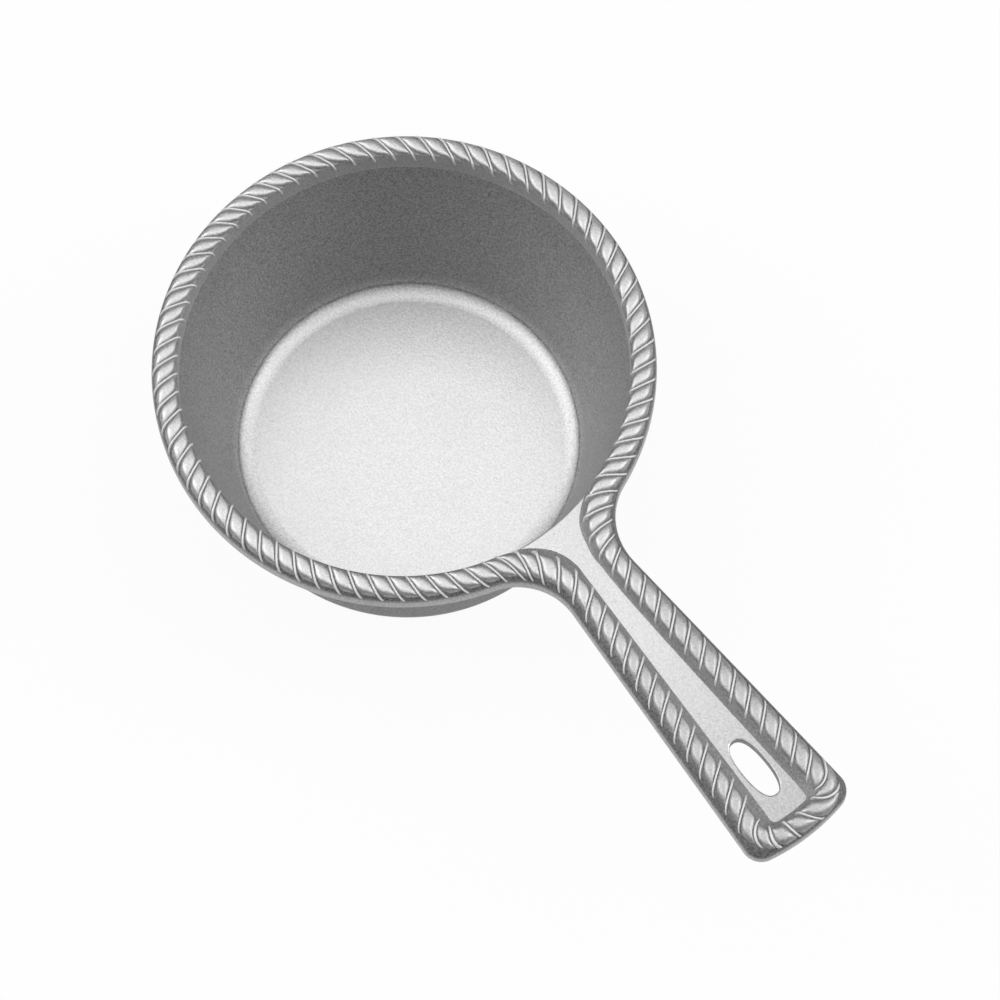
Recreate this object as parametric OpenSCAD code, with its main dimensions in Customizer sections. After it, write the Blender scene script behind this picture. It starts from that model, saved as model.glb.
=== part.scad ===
// Small cast saucepan: a tapered round bowl and a flat handle with a sunken middle and a hanging slot,
// bordered all round by a twisted rope with a thin raised rib between its strands.
// The base rests on z = 0 with its centre at the origin, and the handle runs along +X.

/* [Bowl] */
// Radius of the parting line round the rim, the widest line of the bowl
rim_r = 50; // [47:0.5:58]
// Height of the parting line above the surface that the bowl stands on
rim_z = 44; // [30:1:70]
// Width of the rim, from the parting line to the mouth
rim_w = 5.2; // [5:0.1:6]
// Thickness of the floor
floor_t = 2.8; // [2:0.1:4]
// Distance from the foot of the outer wall to the edge of the flat inner floor
foot_t = 6.1; // [5.4:0.1:7]
// Radius of the fillet between floor and wall, inside
floor_fillet = 4.5; // [3:0.5:5]
// How much the outer wall tapers from the lip down to the base
taper = 9.6; // [6:0.2:12]
// Radius of the rounded foot, outside
foot_round = 6; // [4:0.5:7]
// Depth of the rim and of the handle's edges below the parting line
lip_h = 2.4; // [2.2:0.1:3]
// How far the rim stands out from the wall, underneath
lip_w = 2.4; // [2:0.1:3]
// Radius of the lower edge of the rim and of the handle
lip_round = 1.4; // [0.8:0.1:1.8]
// Radius of the blend under the neck
blend_round = 2.4; // [1.6:0.1:2.4]

/* [Rim band] */
// Height of the rope's seat above the parting line
seat_h = 2; // [1.4:0.1:3]
// How far the smooth outer band leans in over that height
band_draft = 0.5; // [0.2:0.1:0.7]

/* [Handle] */
// Distance from the bowl's centre to the handle's end
handle_end = 123.2; // [110:1:160]
// Sideways shift of the handle's centre line from the bowl's centre
handle_shift = 2.4; // [0:0.2:3]
// Half the handle's width at the neck
neck_half_w = 7.75; // [7.4:0.05:8.4]
// Half the handle's width at its end
end_half_w = 12.2; // [11.6:0.05:14]
// Radius of the hollow curve between rim and handle, on the left
left_neck_round = 14; // [11:0.5:16]
// Radius of the hollow curve on the right
right_neck_round = 12.8; // [10:0.2:16]
// Radius of the bowed end
bow_round = 43; // [35:1:60]
// Radius of the handle's outer corners
corner_round = 4; // [2.8:0.1:4.5]

/* [Web] */
// Thickness of the sunken middle
web_t = 2.1; // [1.6:0.1:2.8]
// Height of its upper face above the parting line
web_h = 0.8; // [0.4:0.1:1.2]
// Half its width at the neck
web_neck_half_w = 1.6; // [1.4:0.05:1.8]
// Half its width at the end of the handle
web_end_half_w = 4.5; // [3.8:0.1:4.8]
// Radius of the curve where it spreads to the mouth, on the left
left_web_round = 12.4; // [9:0.2:14]
// Radius of that curve on the right
right_web_round = 10.6; // [9:0.2:14]
// Radius of the web's corners
web_corner_round = 1.1; // [0.6:0.1:1.6]
// Width of the end rail, from the web to the tip of the handle
end_rail_w = 5.4; // [5:0.1:6.4]
// Width of the sloped flank between the web and the rope's seat
flank_w = 1.1; // [0.6:0.1:1.2]

/* [Hanging slot] */
// Length of the slot
slot_l = 13; // [8:0.5:15]
// Width of the slot
slot_w = 5.2; // [4.6:0.1:5.6]
// Distance from the slot's centre to the handle's end
slot_from_end = 16.5; // [15:0.1:24]

/* [Rope border] */
// Distance along the border from one rib to the next
rope_pitch = 4.05; // [4:0.05:6]
// Distance of the rope's centre line outside the mouth, on the rim
rope_inset = 2.25; // [2:0.05:2.4]
// Half the distance between the rope's centre lines at the neck
rope_neck_half_w = 4.2; // [4:0.1:4.4]
// Half the distance between the rope's centre lines at the end of the handle
rope_end_half_w = 8.4; // [8.2:0.1:8.8]
// Radius of the rope's turn from rim to handle
rope_neck_round = 16; // [13:0.5:18]
// Distance of the rope's centre line inside the tip of the handle
rope_end_inset = 3.4; // [3.2:0.1:3.6]
// Radius of the rope's turn at the corners of the handle
rope_corner_round = 4; // [3.6:0.1:5]
// Lean of strands and ribs from square to the border round the rim, in degrees
rim_lean = 30; // [20:1:38]
// Their lean along the handle, in degrees
rope_lean = 38; // [30:1:40]
// How much less they lean at the bow, where they fan out, in degrees
fan_angle = 33; // [0:1:38]
// Length of a strand
strand_l = 4.8; // [4:0.1:5.2]
// Half the width of a strand at its middle
strand_half_w = 1.34; // [1.1:0.02:1.36]
// Height of a strand's axis above its seat
strand_lift = 0.3; // [0:0.05:0.5]
// Length of a rib
rib_l = 5.5; // [4.6:0.1:5.6]
// Thickness of a rib
rib_t = 0.4; // [0.2:0.05:0.4]
// Height of a rib above its seat
rib_h = 1.7; // [1.2:0.1:2.2]

/* [Hidden] */
$fn = 96;
metal = [0.72, 0.72, 0.72];
polished = [0.90, 0.90, 0.89];
bright = [0.97, 0.97, 0.96];

// Heights and places that the pieces share
seat_z = rim_z + seat_h;
web_z = rim_z + web_h;
under_z = rim_z - lip_h;
edge_z = under_z + lip_round;
lip_r = rim_r - lip_w;
mouth_r = rim_r - rim_w;
base_r = lip_r - taper;
floor_r = base_r - foot_t;
neck_x = rim_r + neck_half_w;
slot_x = handle_end - slot_from_end;
origin = [0, 0];

function turned(angle, radius) = [radius * cos(angle), radius * sin(angle)];
function flipped(p) = [p.x, -p.y];

// A contour is a closed outline seen from above. A circle round the bowl's centre and a widening handle
// are joined by a hollow curve on each side, and the handle ends in a bow with round corners.
CIRCLE = 0;
NECK = 1;
END = 2;
HOLLOW = 3;
TIP = 4;
BOW = 5;
CORNER = 6;
outer = [rim_r, neck_half_w, end_half_w, [left_neck_round, right_neck_round], handle_end, bow_round,
         corner_round];
web = [mouth_r, web_neck_half_w, web_end_half_w, [left_web_round, right_web_round],
       handle_end - end_rail_w, bow_round, web_corner_round];
rope = [mouth_r + rope_inset, rope_neck_half_w, rope_end_half_w, [rope_neck_round, rope_neck_round],
        handle_end - rope_end_inset, bow_round - rope_end_inset, rope_corner_round];

function slope(c) = atan2(c[END] - c[NECK], handle_end - neck_x);

// Points of a contour's left side. On the right, side is -1 and the points are mirrored
function along(c) = turned(slope(c), 1);
function outward(c) = turned(slope(c) + 90, 1);
function hollow(c, side) = side > 0 ? c[HOLLOW][0] : c[HOLLOW][1];
function side_offset(c, side) = outward(c) * [neck_x, side * handle_shift + c[NECK]];
function hollow_centre(c, side) =
    let (away = side_offset(c, side) + hollow(c, side), reach = c[CIRCLE] + hollow(c, side))
    outward(c) * away + along(c) * sqrt(reach * reach - away * away);
function rim_tangent(c, side) = hollow_centre(c, side) * c[CIRCLE] / (c[CIRCLE] + hollow(c, side));
function rim_angle(c, side) = let (p = rim_tangent(c, side)) atan2(p.y, p.x);
function side_start(c, side) = hollow_centre(c, side) - outward(c) * hollow(c, side);
function bow_centre(c, side) = [c[TIP] - c[BOW], side * handle_shift];
function corner_centre(c, side) =
    let (e = bow_centre(c, side), away = side_offset(c, side) - c[CORNER] - outward(c) * e,
         reach = c[BOW] - c[CORNER])
    e + outward(c) * away + along(c) * sqrt(reach * reach - away * away);
function side_stop(c, side) = corner_centre(c, side) + outward(c) * c[CORNER];
function corner_angle(c, side) =
    let (q = corner_centre(c, side) - bow_centre(c, side)) atan2(q.y, q.x);
function side_length(c, side) = norm(side_stop(c, side) - side_start(c, side));

module on_side(side) {
    if (side > 0) children();
    else mirror([0, 1, 0]) children();
}

// Half sections of the bowl, with x as the radius
wall_lean = atan2(lip_r - base_r, under_z);
foot_centre = [base_r - foot_round * tan((90 - wall_lean) / 2), foot_round];
function outer_wall_r(z) = base_r + z * tan(wall_lean);

fillet_centre = [floor_r, floor_t + floor_fillet];
to_mouth = [mouth_r, under_z] - fillet_centre;
fillet_angle = atan2(to_mouth.y, to_mouth.x) - acos(floor_fillet / norm(to_mouth));

module bowl_section() {
    polygon([origin, [foot_centre.x, 0], foot_centre, foot_centre + turned(-wall_lean, foot_round),
             [lip_r, under_z], [0, under_z]]);
    translate(foot_centre) circle(r = foot_round);
}

module cavity_section() {
    polygon([[0, floor_t], [floor_r, floor_t], fillet_centre,
             fillet_centre + turned(fillet_angle, floor_fillet), [mouth_r, under_z],
             [mouth_r, rim_z], [0, rim_z]]);
    translate(fillet_centre) circle(r = floor_fillet);
}

module pan_floor() {
    color(metal) rotate_extrude() intersection() {
        bowl_section();
        square([rim_r, floor_t]);
    }
}

module pan_wall() {
    color(metal) rotate_extrude() difference() {
        bowl_section();
        cavity_section();
        square([rim_r, floor_t]);
    }
}

// The band and its rounded lip stand on the wall. They stop where the hollow curves of the neck begin
left_stop = rim_angle(outer, 1);
right_stop = -rim_angle(outer, -1);

module rim_band() {
    color(metal) rotate([0, 0, left_stop]) rotate_extrude(angle = 360 - left_stop + right_stop) {
        polygon([[mouth_r, under_z], [rim_r - lip_round, under_z], [rim_r - lip_round, edge_z],
                 [rim_r, edge_z], [rim_r, rim_z], [rim_r - band_draft, seat_z], [mouth_r, seat_z]]);
        intersection() {
            translate([rim_r - lip_round, edge_z]) circle(r = lip_round);
            translate([rim_r - lip_round, under_z]) square(lip_round);
        }
    }
}

// Stations along the handle, each a pair of points: one on the parting line and one on the web's edge.
// The first lies on the line from the bowl's centre where the band stops, and the web begins a few later
neck_steps = 10;
mouth_steps = 2;
side_steps = 4;
corner_steps = 3;
bow_steps = 8;
mouth_share = mouth_steps / neck_steps;
function between(from, to, share) = from + (to - from) * share;
function web_edge(x, side) =
    let (straight = side_start(web, side), h = hollow_centre(web, side), r = hollow(web, side))
    x < straight.x ? [x, h.y - sqrt(r * r - (x - h.x) * (x - h.x))]
    : [x, straight.y + (x - straight.x) * tan(slope(web))];
function mouth_to_side(share, side) =
    let (first = rim_angle(outer, side), mouth_angle = rim_angle(web, side),
         mouth_x = rim_tangent(web, side).x, last_x = side_start(outer, side).x)
    share < mouth_share
        ? turned(between(first, mouth_angle, share / mouth_share), mouth_r)
        : web_edge(between(mouth_x, last_x, (share - mouth_share) / (1 - mouth_share)), side);
function neck_station(share, side) =
    let (first = rim_angle(outer, side), sweep = slope(outer) + 90 - first)
    [hollow_centre(outer, side) + turned(first + 180 + sweep * share, hollow(outer, side)),
     mouth_to_side(share, side)];
function side_station(share, side) =
    [between(side_start(outer, side), side_stop(outer, side), share),
     web_edge(between(side_start(outer, side).x, side_stop(web, side).x, share), side)];
function corner_station(share, side) =
    [for (c = [outer, web])
        corner_centre(c, side) + turned(between(slope(c) + 90, corner_angle(c, side), share), c[CORNER])];
function bow_station(share) =
    [for (c = [outer, web])
        bow_centre(c, 1) + turned(between(corner_angle(c, 1), -corner_angle(c, -1), share), c[BOW])];
mitre_share = 0.5;
function rail_stations(side) =
    concat([for (i = [0:neck_steps - 1]) neck_station(i / neck_steps, side)],
           [for (i = [0:side_steps - 1]) side_station(i / side_steps, side)],
           [for (i = [0:corner_steps]) corner_station(mitre_share * i / corner_steps, side)]);
function half_end_stations(side) =
    [for (i = [0:corner_steps - 1])
        corner_station(between(mitre_share, 1, i / corner_steps), side)];
function flipped_pair(pair) = [flipped(pair[0]), flipped(pair[1])];
function reversed(v) = [for (i = [len(v) - 1:-1:0]) v[i]];
end_stations =
    concat(half_end_stations(1), [for (i = [0:bow_steps]) bow_station(i / bow_steps)],
           [for (pair = reversed(half_end_stations(-1))) flipped_pair(pair)]);

// The rail's section at a station, from the parting line up over the seat, down the flank to the web
// and back along the rounded lower edge. The flank widens from nothing where the band stops
lip_steps = 3;
function rail_section(pair, flank) =
    let (width = norm(pair[1] - pair[0]), inward = (pair[1] - pair[0]) / width)
    [for (q = concat([[0, rim_z], [band_draft, seat_z], [width - flank, seat_z], [width, web_z],
                      [width, under_z]],
                     [for (i = [0:lip_steps])
                         [lip_round, edge_z] + turned(270 - 90 * i / lip_steps, lip_round)]))
        [pair[0].x + inward.x * q.x, pair[0].y + inward.y * q.x, q.y]];

module swept_rail(stations, flanks) {
    sections = [for (i = [0:len(stations) - 1]) rail_section(stations[i], flanks[i])];
    n = len(sections[0]);
    last = len(sections) - 1;
    polyhedron(
        points = [for (section = sections) each section],
        faces = concat(
            [[for (k = [0:n - 1]) k]],
            [[for (k = [n - 1:-1:0]) last * n + k]],
            [for (i = [0:last - 1], k = [0:n - 1], half = [0, 1])
                let (a = i * n + k, b = i * n + (k + 1) % n, c = a + n, d = b + n)
                half == 0 ? [a, c, d] : [a, d, b]]));
}

module side_rail(side) {
    stations = rail_stations(side);
    on_side(side)
        swept_rail(stations, [for (i = [0:len(stations) - 1]) flank_w * min(i / neck_steps, 1)]);
}

module left_rail() {
    color(metal) side_rail(1);
}

module right_rail() {
    color(metal) side_rail(-1);
}

module end_rail() {
    color(metal) swept_rail(end_stations, [for (pair = end_stations) flank_w]);
}

// The web fills the space between the rails, from the mouth to the end rail
function web_side(side) =
    let (pairs = rail_stations(side)) [for (i = [mouth_steps:len(pairs) - 1]) pairs[i][1]];
web_mouth_steps = 12;
web_mouth = [for (i = [1:web_mouth_steps - 1])
    turned(between(-rim_angle(web, -1), rim_angle(web, 1), i / web_mouth_steps), mouth_r)];

module web_outline() {
    polygon(concat(web_side(1), [for (pair = end_stations) pair[1]],
                   [for (p = reversed(web_side(-1))) flipped(p)], web_mouth));
}

module slot_outline() {
    reach = (slot_l - slot_w) / 2;
    translate([slot_x, handle_shift]) {
        for (end = [-1, 1]) translate([end * reach, 0]) circle(d = slot_w);
        square([2 * reach, slot_w], center = true);
    }
}

module handle_web() {
    color(metal) translate([0, 0, web_z - web_t]) linear_extrude(height = web_t) difference() {
        web_outline();
        slot_outline();
    }
}

// The pad under the web's mouth ends at one of the stations. The blend from the wall to the handle's
// lower faces has thin edges, and its hollow is an arc about a point below the handle
pad_steps = 6;
blend_edge = 0.15;
blend_reach = blend_round + blend_edge;
blend_centre = [outer_wall_r(under_z - blend_reach) + blend_reach / cos(wall_lean),
                under_z - blend_reach];
function pad_side(side) =
    let (pairs = rail_stations(side)) [for (i = [mouth_steps:pad_steps]) pairs[i][1]];

module neck_fillet() {
    color(metal) {
        translate([0, 0, under_z]) linear_extrude(height = web_z - web_t - under_z)
            polygon(concat(pad_side(1), [for (p = reversed(pad_side(-1))) flipped(p)], web_mouth));
        rotate([0, 0, right_stop]) rotate_extrude(angle = left_stop - right_stop) difference() {
            polygon([[lip_r, under_z], [blend_centre.x, under_z], blend_centre,
                     blend_centre - turned(-wall_lean, blend_reach)]);
            translate(blend_centre) circle(r = blend_round);
        }
    }
}

// The rope's path runs once round the object, clockwise from above: round the rim from neck to neck,
// out along the left rail, across the end and back along the right rail.
// A stretch is [side of the border, length, centre or start, radius or 0, start angle or heading, sweep]
function arc_stretch(part, centre, radius, start, sweep) =
    [part, abs(sweep) / 360 * 2 * PI * radius, centre, radius, start, sweep];
function straight_stretch(part, from, to) =
    [part, norm(to - from), from, 0, atan2(to.y - from.y, to.x - from.x), 0];
left_rope_angle = rim_angle(rope, 1);
right_rope_angle = -rim_angle(rope, -1);
side_normal = slope(rope) + 90;
stretches = [
    arc_stretch("rim", origin, rope[CIRCLE], right_rope_angle, left_rope_angle - right_rope_angle - 360),
    arc_stretch("left", hollow_centre(rope, 1), rope_neck_round, left_rope_angle + 180,
                side_normal - left_rope_angle),
    straight_stretch("left", side_start(rope, 1), side_stop(rope, 1)),
    arc_stretch("end", corner_centre(rope, 1), rope[CORNER], side_normal,
                corner_angle(rope, 1) - side_normal),
    arc_stretch("end", bow_centre(rope, 1), rope[BOW], corner_angle(rope, 1),
                -corner_angle(rope, 1) - corner_angle(rope, -1)),
    arc_stretch("end", flipped(corner_centre(rope, -1)), rope[CORNER], -corner_angle(rope, -1),
                corner_angle(rope, -1) - side_normal),
    straight_stretch("right", flipped(side_stop(rope, -1)), flipped(side_start(rope, -1))),
    arc_stretch("right", flipped(hollow_centre(rope, -1)), rope_neck_round, 180 - side_normal,
                side_normal + right_rope_angle)
];

function sum(v, i = 0) = i < len(v) ? v[i] + sum(v, i + 1) : 0;
border_l = sum([for (s = stretches) s[1]]);
rope_turns = round(border_l / rope_pitch);

// The side of the border, the point and the heading that lie a given distance along the path
function on_stretch(s, dist) =
    s[3] == 0
        ? [s[0], s[2] + turned(s[4], dist), s[4]]
        : let (angle = s[4] + s[5] * dist / s[1])
          [s[0], s[2] + turned(angle, s[3]), angle + 90 * sign(s[5])];
function path_at(dist, i = 0) =
    dist <= stretches[i][1] || i == len(stretches) - 1
        ? on_stretch(stretches[i], dist)
        : path_at(dist - stretches[i][1], i + 1);

// Strands and ribs fan out round the bow's far corner, as shares of the end's own length
fan_share = 0.7;
fan_reach_share = 0.35;
end_from = sum([for (s = stretches) s[0] == "rim" || s[0] == "left" ? s[1] : 0]);
end_l = sum([for (s = stretches) s[0] == "end" ? s[1] : 0]);
function lean_at(part, dist) =
    let (past_share = abs((dist - end_from) / end_l - fan_share) / fan_reach_share)
    part == "rim" ? rim_lean : rope_lean - fan_angle * max(0, 1 - past_share);

// Strands sit half a turn after the ribs
module along_border(part, phase) {
    for (turn = [0:rope_turns - 1]) {
        dist = (turn + phase) * border_l / rope_turns;
        at = path_at(dist);
        if (at[0] == part)
            translate([at[1].x, at[1].y, seat_z]) rotate([0, 0, at[2] - 90 + lean_at(part, dist)])
                children();
    }
}

// A strand is a barrel that lies on its seat, cut flat underneath
strand_end_share = 0.55;
strand_waist = (1 - strand_end_share) * strand_half_w;
strand_bulge_r = (strand_l * strand_l / 4 + strand_waist * strand_waist) / (2 * strand_waist);

module strand() {
    intersection() {
        translate([0, 0, strand_lift]) rotate([0, 90, 0]) rotate_extrude() intersection() {
            translate([strand_half_w - strand_bulge_r, 0]) circle(r = strand_bulge_r);
            circle(d = strand_l);
            translate([0, -strand_l / 2]) square([strand_half_w, strand_l]);
        }
        translate([-strand_l, -strand_l, 0]) cube([2 * strand_l, 2 * strand_l, strand_l]);
    }
}

// A rib is a thin upright fin with a low arched top
rib_arch_r = (rib_l * rib_l / 4 + rib_h * rib_h) / (2 * rib_h);

module rib() {
    rotate([90, 0, 0]) translate([0, 0, -rib_t / 2]) linear_extrude(height = rib_t) intersection() {
        translate([0, rib_h - rib_arch_r]) circle(r = rib_arch_r);
        translate([-rib_l / 2, 0]) square([rib_l, rib_h]);
    }
}

module strands(part) {
    color(polished) along_border(part, 0.5) strand();
}

module ribs(part) {
    color(bright) along_border(part, 0) rib();
}

module rim_rope() { strands("rim"); }
module left_rope() { strands("left"); }
module end_rope() { strands("end"); }
module right_rope() { strands("right"); }
module rim_ribs() { ribs("rim"); }
module left_ribs() { ribs("left"); }
module end_ribs() { ribs("end"); }
module right_ribs() { ribs("right"); }

pan_floor();
pan_wall();
rim_band();
rim_rope();
rim_ribs();
neck_fillet();
handle_web();
left_rail();
right_rail();
end_rail();
left_rope();
right_rope();
end_rope();
left_ribs();
right_ribs();
end_ribs();
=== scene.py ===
import functools
import math
import random

import bpy
from mathutils import Matrix, Vector


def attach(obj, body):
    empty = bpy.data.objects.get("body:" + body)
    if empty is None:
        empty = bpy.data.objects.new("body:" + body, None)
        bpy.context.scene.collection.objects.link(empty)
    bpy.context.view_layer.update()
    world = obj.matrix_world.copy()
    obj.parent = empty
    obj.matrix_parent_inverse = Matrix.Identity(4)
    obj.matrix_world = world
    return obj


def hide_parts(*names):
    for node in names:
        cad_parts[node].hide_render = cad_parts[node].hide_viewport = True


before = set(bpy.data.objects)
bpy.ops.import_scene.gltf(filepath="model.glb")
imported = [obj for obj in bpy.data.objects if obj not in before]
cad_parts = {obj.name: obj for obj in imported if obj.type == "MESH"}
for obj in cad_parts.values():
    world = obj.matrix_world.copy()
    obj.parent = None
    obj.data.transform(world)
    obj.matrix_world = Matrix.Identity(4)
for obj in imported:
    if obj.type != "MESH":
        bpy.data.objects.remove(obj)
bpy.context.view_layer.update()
MM = 0.001


# Camera: a long lens that looks steeply down on the pan, from beyond the right-hand side of its handle.
# Azimuth is measured from the handle's direction, and the aim is where the picture's centre falls,
# to the right and up of the bowl's centre at the height of the parting line.
parting_z = 44
view_azimuth = math.radians(-37.58)
view_elevation = math.radians(69.472)
view_roll = math.radians(0.269)
view_distance = 750
aim_right = 18.82
aim_up = -26.54

level = Vector((math.cos(view_azimuth), math.sin(view_azimuth), 0))
to_camera = level * math.cos(view_elevation) + Vector((0, 0, math.sin(view_elevation)))
right = Vector((-level.y, level.x, 0))
up = to_camera.cross(right)
camera_right = right * math.cos(view_roll) - up * math.sin(view_roll)
camera_up = right * math.sin(view_roll) + up * math.cos(view_roll)
camera_place = to_camera * view_distance + right * aim_right + up * aim_up + Vector((0, 0, parting_z))
camera = bpy.data.objects.new("camera", bpy.data.cameras.new("camera"))
bpy.context.collection.objects.link(camera)
camera.data.lens = 136.43
camera.data.sensor_width = 36
camera.data.clip_end = 10
camera.matrix_world = Matrix.Translation(camera_place * MM) @ Matrix(
    (camera_right, camera_up, to_camera)
).transposed().to_4x4()
bpy.context.scene.camera = camera


# Pan floor: the flat disc of the bowl's bottom with the start of its rounded foot. The whole pan is one
# sand casting in plain aluminium, so each piece here is a stretch of the same metal. Inside, the floor
# is worn smooth, with the fine grain of the sand, and painted bright as a painted top light; its foot is
# painted dark, a painted shade underneath.
rim_r, rim_w = 50, 5.2
lip_h, lip_w, lip_round = 2.4, 2.4, 1.4
taper = 9.6
floor_t, foot_t, foot_round = 2.8, 6.1, 6
under_z = parting_z - lip_h
lip_r = rim_r - lip_w
mouth_r = rim_r - rim_w
base_r = lip_r - taper
floor_r = base_r - foot_t
wall_lean = math.atan2(lip_r - base_r, under_z)
foot_centre = (base_r - foot_round * math.tan((math.pi / 2 - wall_lean) / 2), foot_round)
spin_steps = 256


def turned(angle, radius, centre=(0, 0)):
    return Vector((centre[0] + radius * math.cos(angle), centre[1] + radius * math.sin(angle)))


def arc(centre, radius, first, last, steps):
    return [turned(first + (last - first) * i / steps, radius, centre) for i in range(steps + 1)]


def pick(piece):
    """Makes a piece the active one, and the only one that is selected."""
    bpy.ops.object.select_all(action="DESELECT")
    piece.select_set(True)
    bpy.context.view_layer.objects.active = piece


def face_outwards():
    """Turns the faces of the active piece outwards."""
    bpy.ops.object.mode_set(mode="EDIT")
    bpy.ops.mesh.select_all(action="SELECT")
    bpy.ops.mesh.normals_make_consistent(inside=False)
    bpy.ops.object.mode_set(mode="OBJECT")


def spun(name, profile, first=0, sweep=math.tau, steps=spin_steps):
    """A profile of (radius, height) points, drawn point by point and spun about the bowl's axis."""
    bpy.ops.object.select_all(action="DESELECT")
    bpy.ops.mesh.primitive_plane_add(size=MM)
    piece = bpy.context.object
    piece.name = piece.data.name = name
    bpy.ops.object.mode_set(mode="EDIT")
    bpy.ops.mesh.merge(type="CENTER")
    ring = [Vector((p[0] * math.cos(first), p[0] * math.sin(first), p[1])) * MM for p in profile]
    bpy.ops.transform.translate(value=ring[0])
    for step in range(1, len(ring)):
        bpy.ops.mesh.extrude_region_move(TRANSFORM_OT_translate={"value": ring[step] - ring[step - 1]})
    bpy.ops.mesh.select_all(action="SELECT")
    if sweep < math.tau:
        bpy.ops.mesh.edge_face_add()
    bpy.ops.mesh.spin(steps=steps, angle=-sweep, center=(0, 0, 0), axis=(0, 0, 1))
    bpy.ops.mesh.select_all(action="SELECT")
    bpy.ops.mesh.remove_doubles(threshold=0.002 * MM)
    face_outwards()
    return piece


def finish_piece(piece, material, *nodes, slot="cast_aluminium", crease=32):
    """Smooths a piece up to its creases and sets it in the frame for the nodes that it stands for."""
    pick(piece)
    bpy.ops.object.shade_smooth_by_angle(angle=math.radians(crease))
    piece.data.materials.clear()
    piece.data.materials.append(material)
    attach(piece, "root")
    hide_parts(*nodes)


class Sum:
    """A shader socket that can be added, subtracted and multiplied as a number."""

    def __init__(self, metal, socket):
        self.metal, self.socket = metal, socket

    def step(self, operation, *values, clamp=False):
        settings = {"operation": operation, "use_clamp": clamp}
        return self.metal.make("ShaderNodeMath", settings, dict(enumerate(values)))

    def __add__(self, other):
        return self.step("ADD", self, other)

    def __sub__(self, other):
        return self.step("SUBTRACT", self, other)

    def __rsub__(self, other):
        return self.step("SUBTRACT", other, self)

    def __mul__(self, other):
        return self.step("MULTIPLY", self, other)

    __radd__ = __add__
    __rmul__ = __mul__

    def clamped(self):
        return self.step("ADD", self, 0, clamp=True)


class Metal:
    """A material's nodes, which all come from one method."""

    def __init__(self, name):
        self.material = bpy.data.materials.new(name)
        self.material.use_nodes = True
        self.tree = self.material.node_tree
        self.shader = self.tree.nodes["Principled BSDF"]

    def feed(self, inlet, value):
        """Links what a node gives to an inlet, or sets a plain value."""
        if isinstance(value, Sum):
            self.tree.links.new(value.socket, inlet)
        else:
            inlet.default_value = value

    def make(self, kind, settings, sockets, *outs):
        """Makes a node from its type, its settings and the values or links of its sockets, and gives
        its first output, or those that outs names."""
        node = self.tree.nodes.new(kind)
        for key, value in settings.items():
            setattr(node, key, value)
        for key, value in sockets.items():
            self.feed(node.inputs[key], value)
        given = [Sum(self, node.outputs[out]) for out in outs or (0,)]
        return given if len(given) > 1 else given[0]

    def set(self, **inputs):
        for key, value in inputs.items():
            self.feed(self.shader.inputs[key.replace("_", " ")], value)


grain_size, pit_size, patch_size = 0.42, 0.75, 9
underside_shade = 0.31


def grain(metal, size, detail):
    """Noise whose grains are about as large as size, in millimetres, centred on zero."""
    where = metal.make("ShaderNodeTexCoord", {}, {}, "Object")
    sockets = {"Vector": where, "Scale": 1 / (size * MM), "Detail": detail}
    return metal.make("ShaderNodeTexNoise", {}, sockets) - 0.5


def grey(metal, value):
    return metal.make("ShaderNodeCombineColor", {}, {"Red": value, "Green": value, "Blue": value})


def parts_of(metal, coordinate):
    """The x, y and z of a texture coordinate."""
    vector = metal.make("ShaderNodeTexCoord", {}, {}, coordinate)
    return metal.make("ShaderNodeSeparateXYZ", {}, {"Vector": vector}, "X", "Y", "Z")


def place_on_pan(metal):
    """The x, y and z of a point on the pan, in millimetres."""
    return [part * (1 / MM) for part in parts_of(metal, "Object")]


def facing(metal):
    """The direction that the surface faces. Its z is 1 on the flat, 0 on a wall and -1 underneath."""
    return parts_of(metal, "Normal")


def rubbed_and_painted_top_share(metal, edge):
    """1 where the surface faces up enough to be worn smooth and to take the painted top tone, and 0
    below edge.
    """
    return ((facing(metal)[2] - edge) * 6).clamped()


def cast_metal(
    name, dull, bright, sand, depth, rough=0.72, polished=0.42, edge=0.6, metallic=1, darker=None
):
    """Aluminium as cast: dull and rough on its walls and slopes, and polished where it faces up more
    than edge, which handling wore smooth. There its tone is painted bright in place of dull, a painted
    top tone for how the light from above falls on it.
    sand is how strongly its tone changes with the grain, and depth the relief's in millimetres. darker
    is a function of the material that gives what is taken off its tone."""
    metal = Metal(name)
    rubbed_and_painted_top = rubbed_and_painted_top_share(metal, edge)
    fine = grain(metal, grain_size, 1.5)
    patches = grain(metal, patch_size, 3)
    pits = (grain(metal, pit_size, 1) * -9 - 1.7).clamped()
    # Painted light: where it faces up the tone goes from dull to bright, a painted top tone for the
    # light from above.
    tone = fine * sand + patches * 0.05 + rubbed_and_painted_top * (bright - dull) + dull - pits * 0.1
    if darker:
        tone = tone - darker(metal)
    roughness = fine * 0.2 + patches * 0.1 + rubbed_and_painted_top * (polished - rough) + rough
    sockets = {"Strength": 1, "Distance": depth * MM, "Height": fine - pits * 0.4}
    relief = metal.make("ShaderNodeBump", {}, sockets)
    metal.set(Metallic=metallic, Base_Color=grey(metal, tone), Roughness=roughness, Normal=relief)
    return metal.material


def painted_underside_shade(metal):
    """Painted shade: the foot and the underside are painted darker where they face down."""
    return (facing(metal)[2] * -4).clamped() * underside_shade


cast_aluminium = cast_metal("cast_aluminium", 0.55, 0.8, sand=0.5, depth=0.035, darker=painted_underside_shade)
foot_angle_at_floor = -math.asin((foot_round - floor_t) / foot_round)
floor_profile = [Vector((0, 0)), Vector((base_r * 0.35, 0)), Vector((base_r * 0.7, 0))]
floor_profile += arc(foot_centre, foot_round, -math.pi / 2, foot_angle_at_floor, 10)
floor_profile += [Vector((floor_r * share, floor_t)) for share in (1, 0.75, 0.5, 0.25, 0)]
pan_floor = spun("pan_floor_disc", floor_profile)
finish_piece(pan_floor, cast_aluminium, "pan_floor")


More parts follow.
